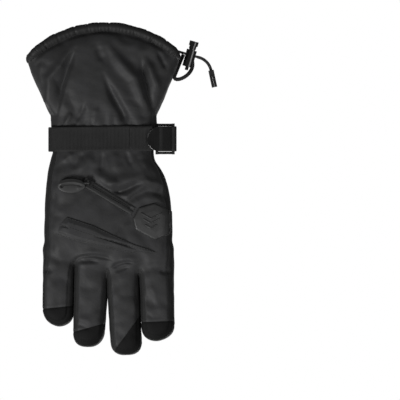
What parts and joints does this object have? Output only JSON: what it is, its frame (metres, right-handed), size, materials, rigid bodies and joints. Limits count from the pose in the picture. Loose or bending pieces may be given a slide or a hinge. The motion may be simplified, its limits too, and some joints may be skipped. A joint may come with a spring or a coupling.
{
  "type": "ski glove",
  "caption": "Insulated five-finger ski glove for the right hand with a flared gauntlet cuff, hem drawcord and lock, wrist strap, zipped back pocket and folded thumb.",
  "frame": {"origin": "centre of the wrist, inside the glove at the middle of the wrist strap", "axes": "+Z towards the cuff opening with the fingers pointing down -Z, +X towards the index finger and thumb, +Y towards the palm (the back of the hand faces -Y)"},
  "size_m": [0.1844, 0.0705, 0.3181],
  "materials": {
    "shell_fabric": "woven nylon with a soft sheen",
    "side_fabric": "woven nylon, darker side walls",
    "palm_pu": "fine-grained synthetic leather",
    "thumb_fleece": "matte brushed fleece",
    "badge_rubber": "satin moulded rubber",
    "zip_tape": "coated zip tape",
    "zip_plastic": "matte moulded plastic",
    "pocket_fabric": "thin plain-weave nylon",
    "membrane": "waterproof film",
    "insulation": "white polyester wadding",
    "lining": "brushed tricot",
    "elastic": "woven elastic",
    "webbing": "ribbed nylon webbing",
    "hook_loop": "hook-and-loop tape",
    "grip_pu": "embossed synthetic leather",
    "gloss_black": "polished moulded nylon",
    "cord": "braided elastic cord",
    "spring_steel": "bright spring wire"
  },
  "bodies": {
    "hand": {"back_shell": "shell_fabric", "palm_panel": "palm_pu", "palm_heel_panel": "palm_pu", "finger_sidewalls": "side_fabric", "knuckle_band": "shell_fabric", "badge": "badge_rubber", "zip_tape": "zip_tape", "zip_teeth": "zip_plastic", "pocket_bag": "pocket_fabric", "hand_membrane": "membrane", "hand_insulation": "insulation", "hand_lining": "lining", "thumb_gusset": "thumb_fleece", "wrist_elastic": "elastic", "strap_webbing": "webbing", "strap_loop_patch": "webbing", "strap_anchor": "webbing"},
    "little_tip": {"little_tip_shell": "shell_fabric", "little_tip_patch": "grip_pu", "little_tip_insulation": "insulation", "little_tip_lining": "lining"},
    "ring_tip": {"ring_tip_shell": "shell_fabric", "ring_tip_patch": "grip_pu", "ring_tip_insulation": "insulation", "ring_tip_lining": "lining"},
    "middle_tip": {"middle_tip_shell": "shell_fabric", "middle_tip_patch": "grip_pu", "middle_tip_insulation": "insulation", "middle_tip_lining": "lining"},
    "index_tip": {"index_tip_shell": "shell_fabric", "index_tip_patch": "grip_pu", "index_tip_insulation": "insulation", "index_tip_lining": "lining"},
    "thumb": {"thumb_back_panel": "thumb_fleece", "thumb_palm_panel": "palm_pu", "thumb_insulation": "insulation", "thumb_lining": "lining"},
    "gauntlet": {"gauntlet_shell": "shell_fabric", "gauntlet_insulation": "insulation", "gauntlet_lining": "lining", "hem_tunnel": "shell_fabric", "drawcord": "cord", "lock_tape": "webbing", "lock_barrel": "gloss_black", "lock_spring": "spring_steel"},
    "plunger": {"lock_plunger": "gloss_black"},
    "cord_run": {"cord_run": "cord"},
    "cord_tail": {"cord_tail": "cord", "cord_end_base": "gloss_black", "cord_end_cover": "gloss_black"},
    "buckle": {"buckle_ring": "gloss_black"},
    "strap_tab": {"strap_end": "webbing", "hook_patch": "hook_loop", "tab_end": "gloss_black"},
    "zip_slider": {"zip_slider": "zip_plastic"},
    "zip_pull": {"zip_pull": "zip_plastic"}
  },
  "joints": [
    {"name": "little_bend", "type": "hinge", "parent": "hand", "child": "little_tip", "pos_m": [-0.0449, 0, -0.148], "axis": [1, 0, 0], "range_deg": [0, 70], "stiffness_Nm_per_rad": 0.02},
    {"name": "ring_bend", "type": "hinge", "parent": "hand", "child": "ring_tip", "pos_m": [-0.0133, 0, -0.158], "axis": [1, 0, 0], "range_deg": [0, 70], "stiffness_Nm_per_rad": 0.02},
    {"name": "middle_bend", "type": "hinge", "parent": "hand", "child": "middle_tip", "pos_m": [0.0169, 0, -0.164], "axis": [1, 0, 0], "range_deg": [0, 70], "stiffness_Nm_per_rad": 0.02},
    {"name": "index_bend", "type": "hinge", "parent": "hand", "child": "index_tip", "pos_m": [0.049, 0, -0.158], "axis": [1, 0, 0], "range_deg": [0, 70], "stiffness_Nm_per_rad": 0.02},
    {"name": "thumb_swing", "type": "hinge", "parent": "hand", "child": "thumb", "pos_m": [0.04, 0.0325, -0.045], "axis": [0, -1, 0], "range_deg": [0, 45], "stiffness_Nm_per_rad": 0.02},
    {"name": "wrist_bend", "type": "hinge", "parent": "hand", "child": "gauntlet", "pos_m": [0, 0, 0.02], "axis": [1, 0, 0], "range_deg": [-25, 25], "stiffness_Nm_per_rad": 0.03},
    {"name": "buckle_pivot", "type": "hinge", "parent": "hand", "child": "buckle", "pos_m": [0.04839, -0.01085, 0], "axis": [0, 0, 1], "range_deg": [0, 35]},
    {"name": "tab_peel", "type": "hinge", "parent": "buckle", "child": "strap_tab", "pos_m": [0.06389, -0.01085, 0], "axis": [0, 0, 1], "range_deg": [0, 150]},
    {"name": "plunger_press", "type": "slide", "parent": "gauntlet", "child": "plunger", "axis": [-0.2756, 0, -0.9613], "range_m": [0, 0.0038], "stiffness_N_per_m": 400, "springref_m": -0.002},
    {"name": "cord_pull", "type": "slide", "parent": "gauntlet", "child": "cord_run", "axis": [0.9613, 0, -0.2756], "range_m": [0, 0.008]},
    {"name": "tail_swing", "type": "hinge", "parent": "cord_run", "child": "cord_tail", "pos_m": [0.08847, 0, 0.07736], "axis": [0, 1, 0], "range_deg": [-40, 40]},
    {"name": "zip_slide", "type": "slide", "parent": "hand", "child": "zip_slider", "axis": [0.8572, 0, -0.515], "range_m": [0, 0.038]},
    {"name": "zip_pull_swing", "type": "hinge", "parent": "zip_slider", "child": "zip_pull", "pos_m": [-0.017, -0.0233, -0.042], "axis": [0, 0, 1], "range_deg": [0, 160]}
  ]
}
